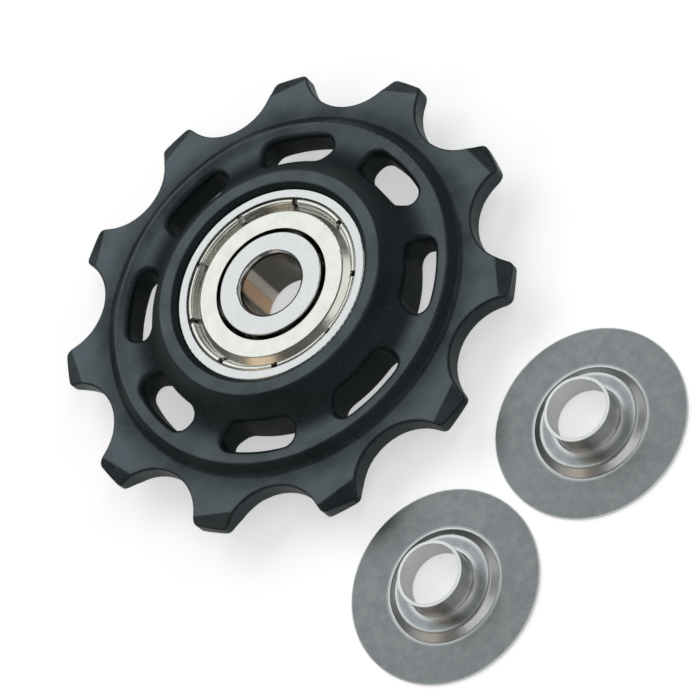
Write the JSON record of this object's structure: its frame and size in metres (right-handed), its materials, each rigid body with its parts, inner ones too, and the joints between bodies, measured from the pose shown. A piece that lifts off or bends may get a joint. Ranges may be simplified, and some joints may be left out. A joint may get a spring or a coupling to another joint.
{
  "type": "derailleur jockey wheel",
  "caption": "Toothed jockey wheel of a bicycle derailleur, with swept spokes, pressed on a shielded ball bearing, with its flanged bearing covers lying beside it.",
  "frame": {"origin": "centre of the bearing, on the axle line", "axes": "+Z along the axle out of the front face, -Y to the front, through a tooth and a spoke"},
  "size_m": [0.0537, 0.0627, 0.007],
  "materials": {
    "wheel_resin": "moulded, satin",
    "ring_steel": "ground",
    "shield_sheet": "pressed, bright",
    "cage_sheet": "pressed",
    "ball_steel": "polished",
    "cover_sheet": "pressed, satin"
  },
  "bodies": {
    "axle_side": {"inner_ring": "ring_steel", "front_cover": "cover_sheet", "back_cover": "cover_sheet"},
    "wheel": {"toothed_wheel": "wheel_resin", "outer_ring": "ring_steel", "front_shield": "shield_sheet", "back_shield": "shield_sheet"},
    "cage": {"cage_front_half": "cage_sheet", "cage_back_half": "cage_sheet", "cage_rivet_1": "cage_sheet", "cage_rivet_2": "cage_sheet", "cage_rivet_3": "cage_sheet", "cage_rivet_4": "cage_sheet", "cage_rivet_5": "cage_sheet", "cage_rivet_6": "cage_sheet", "cage_rivet_7": "cage_sheet"},
    "ball_1": {"ball_1": "ball_steel"},
    "ball_2": {"ball_2": "ball_steel"},
    "ball_3": {"ball_3": "ball_steel"},
    "ball_4": {"ball_4": "ball_steel"},
    "ball_5": {"ball_5": "ball_steel"},
    "ball_6": {"ball_6": "ball_steel"},
    "ball_7": {"ball_7": "ball_steel"}
  },
  "joints": [
    {"name": "wheel_spin", "type": "hinge", "parent": "axle_side", "child": "wheel", "pos_m": [0, 0, 0], "axis": [0, 0, 1], "continuous": true},
    {"name": "cage_orbit", "type": "hinge", "parent": "axle_side", "child": "cage", "pos_m": [0, 0, 0], "axis": [0, 0, 1], "continuous": true},
    {"name": "ball_1_roll", "type": "hinge", "parent": "cage", "child": "ball_1", "pos_m": [0, -0.00625, 0], "axis": [0, 0, 1], "continuous": true},
    {"name": "ball_2_roll", "type": "hinge", "parent": "cage", "child": "ball_2", "pos_m": [0.00489, -0.0039, 0], "axis": [0, 0, 1], "continuous": true},
    {"name": "ball_3_roll", "type": "hinge", "parent": "cage", "child": "ball_3", "pos_m": [0.00609, 0.00139, 0], "axis": [0, 0, 1], "continuous": true},
    {"name": "ball_4_roll", "type": "hinge", "parent": "cage", "child": "ball_4", "pos_m": [0.00271, 0.00563, 0], "axis": [0, 0, 1], "continuous": true},
    {"name": "ball_5_roll", "type": "hinge", "parent": "cage", "child": "ball_5", "pos_m": [-0.00271, 0.00563, 0], "axis": [0, 0, 1], "continuous": true},
    {"name": "ball_6_roll", "type": "hinge", "parent": "cage", "child": "ball_6", "pos_m": [-0.00609, 0.00139, 0], "axis": [0, 0, 1], "continuous": true},
    {"name": "ball_7_roll", "type": "hinge", "parent": "cage", "child": "ball_7", "pos_m": [-0.00489, -0.0039, 0], "axis": [0, 0, 1], "continuous": true}
  ],
  "couplings": [
    {"joint": "cage_orbit", "follows": "wheel_spin", "ratio": 0.64},
    {"joint": "ball_1_roll", "follows": "wheel_spin", "ratio": 1.6457},
    {"joint": "ball_2_roll", "follows": "wheel_spin", "ratio": 1.6457},
    {"joint": "ball_3_roll", "follows": "wheel_spin", "ratio": 1.6457},
    {"joint": "ball_4_roll", "follows": "wheel_spin", "ratio": 1.6457},
    {"joint": "ball_5_roll", "follows": "wheel_spin", "ratio": 1.6457},
    {"joint": "ball_6_roll", "follows": "wheel_spin", "ratio": 1.6457},
    {"joint": "ball_7_roll", "follows": "wheel_spin", "ratio": 1.6457}
  ]
}
